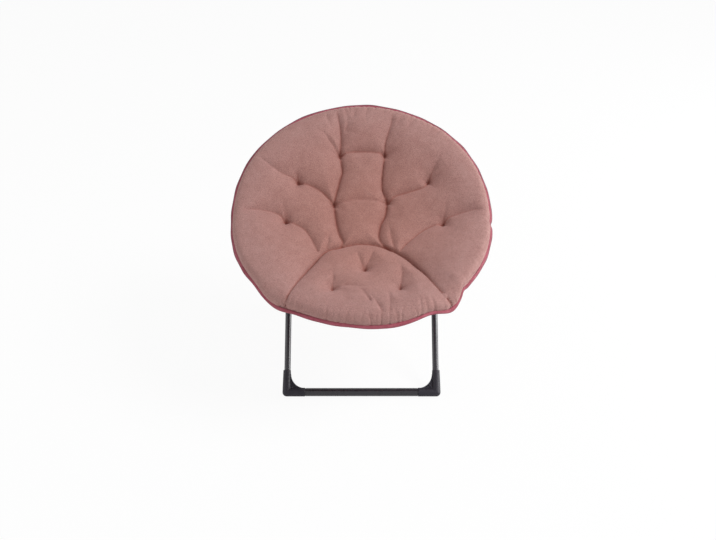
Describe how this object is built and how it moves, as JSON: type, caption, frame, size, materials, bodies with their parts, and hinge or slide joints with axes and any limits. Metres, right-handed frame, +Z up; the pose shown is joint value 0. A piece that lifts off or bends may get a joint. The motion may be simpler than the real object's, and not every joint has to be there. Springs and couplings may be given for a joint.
{
  "type": "folding saucer chair",
  "caption": "Round padded saucer seat on a hinged tube ring, carried by two crossed U-shaped tube legs; the ring folds in half and the legs close like scissors.",
  "frame": {"origin": "on the floor under the middle of the chair's bounding box", "axes": "+X across the chair, to the right in a front view; -Y the front, the side that a sitter faces; +Z up"},
  "size_m": [0.76, 0.6835, 0.7448],
  "materials": {
    "frame_powder_coat": "semi-gloss powder coat",
    "foot_plastic": "fine moulded grain",
    "rivet_steel": "blackened",
    "plush_cushion": "short plush pile",
    "piping_cord": "woven binding",
    "backing_fabric": "plain weave",
    "tuft_thread": "twisted thread"
  },
  "bodies": {
    "front_leg": {"front_upright_left": "frame_powder_coat", "front_upright_right": "frame_powder_coat", "front_floor_bar": "frame_powder_coat", "front_foot_left": "foot_plastic", "front_foot_right": "foot_plastic", "scissor_rivets_inner": "rivet_steel"},
    "back_half": {"back_hoop": "frame_powder_coat", "back_bracket_left": "frame_powder_coat", "back_bracket_right": "frame_powder_coat", "back_bracket_rivets": "rivet_steel", "ring_hinge_rivets": "rivet_steel", "back_backing": "backing_fabric", "back_piping": "piping_cord", "back_tuft_stitches": "tuft_thread", "back_cushion": "plush_cushion"},
    "front_half": {"front_hoop": "frame_powder_coat", "front_bracket_left": "frame_powder_coat", "front_bracket_right": "frame_powder_coat", "front_bracket_rivets": "rivet_steel", "front_backing": "backing_fabric", "front_piping": "piping_cord", "front_tuft_stitches": "tuft_thread", "front_cushion": "plush_cushion"},
    "back_leg": {"back_upright_left": "frame_powder_coat", "back_upright_right": "frame_powder_coat", "back_floor_bar": "frame_powder_coat", "back_foot_left": "foot_plastic", "back_foot_right": "foot_plastic", "scissor_rivets_outer": "rivet_steel"}
  },
  "joints": [
    {"name": "ring_fold", "type": "hinge", "parent": "back_half", "child": "front_half", "pos_m": [0, 0.02652, 0.51], "axis": [-1, 0, 0], "range_deg": [0, 84]},
    {"name": "front_leg_pivot", "type": "hinge", "parent": "front_leg", "child": "back_half", "pos_m": [0, 0.27316, 0.6546], "axis": [1, 0, 0], "range_deg": [0, 23.6]},
    {"name": "back_leg_pivot", "type": "hinge", "parent": "front_half", "child": "back_leg", "pos_m": [0, -0.21754, 0.41193], "axis": [1, 0, 0], "range_deg": [0, 26.1]}
  ],
  "couplings": [
    {"joint": "front_leg_pivot", "follows": "ring_fold", "ratio": 0.27956},
    {"joint": "back_leg_pivot", "follows": "ring_fold", "ratio": 0.30894}
  ]
}
